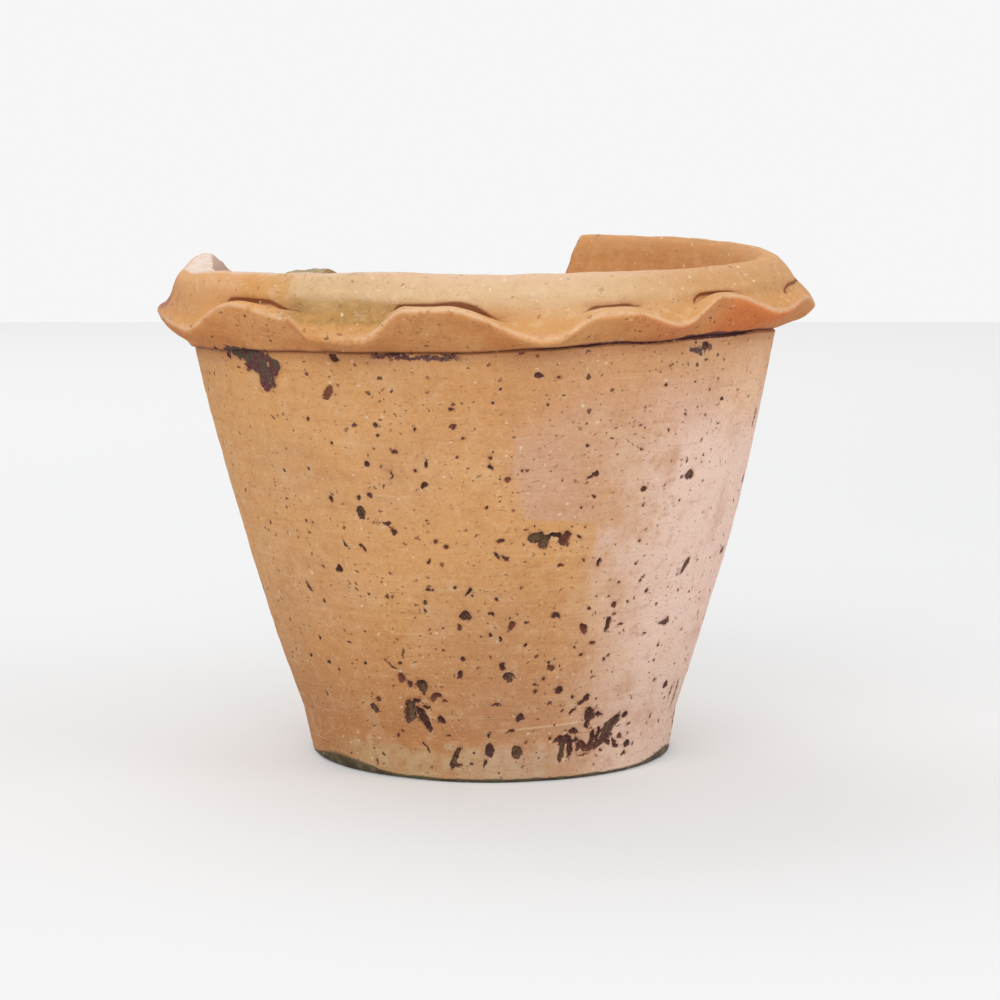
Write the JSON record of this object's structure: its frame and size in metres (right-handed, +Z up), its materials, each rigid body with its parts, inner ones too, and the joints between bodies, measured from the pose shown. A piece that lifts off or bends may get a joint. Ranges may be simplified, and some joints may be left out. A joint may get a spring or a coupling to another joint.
{
  "type": "cracked flower pot",
  "caption": "Hand-thrown clay flower pot with a crimped band under the rim, a drain hole, and part of the rim broken out at the back.",
  "frame": {"origin": "centre of the foot on the ground, on the pot's axis, in the middle of the drain hole", "axes": "+Z up along the pot's axis, -Y towards the front, +Y towards the broken-out rim, +X to the right seen from the front"},
  "size_m": [0.2422, 0.2361, 0.184],
  "materials": {
    "terracotta": "unglazed fired clay, matt, weathered, with pits, soil stains and a pale bloom"
  },
  "bodies": {
    "root": {"pot": "terracotta"}
  },
  "joints": []
}
